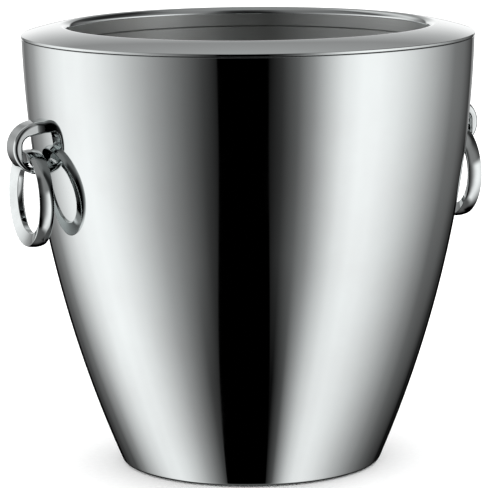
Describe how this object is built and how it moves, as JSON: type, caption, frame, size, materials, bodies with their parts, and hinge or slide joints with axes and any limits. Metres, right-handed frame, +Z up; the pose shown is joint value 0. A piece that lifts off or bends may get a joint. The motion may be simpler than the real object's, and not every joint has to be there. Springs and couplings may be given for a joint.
{
  "type": "champagne bucket",
  "caption": "Double-walled polished steel champagne bucket with a tapered bowed body, broad rolled rim and drop ring handles on strap brackets.",
  "frame": {"origin": "middle of the underside, on the surface that the bucket stands on", "axes": "+Z up along the axis of the bucket, the two ring handles at -X and +X"},
  "size_m": [0.2448, 0.22, 0.2159],
  "materials": {
    "polished_steel": "mirror-polished stainless steel",
    "rim_steel": "polished stainless steel",
    "liner_steel": "satin stainless steel, spun",
    "base_steel": "satin stainless steel",
    "handle_steel": "cast stainless steel, polished",
    "fixing_steel": "plain stainless steel",
    "block_aluminium": "die cast, plain",
    "seal_rubber": "black silicone",
    "pad_rubber": "matte black rubber",
    "support_foam": "closed-cell foam"
  },
  "bodies": {
    "bucket": {"outer_shell": "polished_steel", "rim_ring": "rim_steel", "rim_seal": "seal_rubber", "inner_liner": "liner_steel", "base_plate": "base_steel", "base_pad_ring": "pad_rubber", "liner_support_pad": "support_foam", "left_handle_bracket": "handle_steel", "left_backing_block": "block_aluminium", "left_lock_washers": "fixing_steel", "left_bracket_screws": "fixing_steel", "right_handle_bracket": "handle_steel", "right_backing_block": "block_aluminium", "right_lock_washers": "fixing_steel", "right_bracket_screws": "fixing_steel"},
    "left_ring": {"left_handle_ring": "handle_steel"},
    "right_ring": {"right_handle_ring": "handle_steel"}
  },
  "joints": [
    {"name": "left_ring_swing", "type": "hinge", "parent": "bucket", "child": "left_ring", "pos_m": [-0.11224, 0, 0.1576], "axis": [0, 1, 0], "range_deg": [-12, 177]},
    {"name": "right_ring_swing", "type": "hinge", "parent": "bucket", "child": "right_ring", "pos_m": [0.11224, 0, 0.1576], "axis": [0, -1, 0], "range_deg": [-12, 177]}
  ]
}
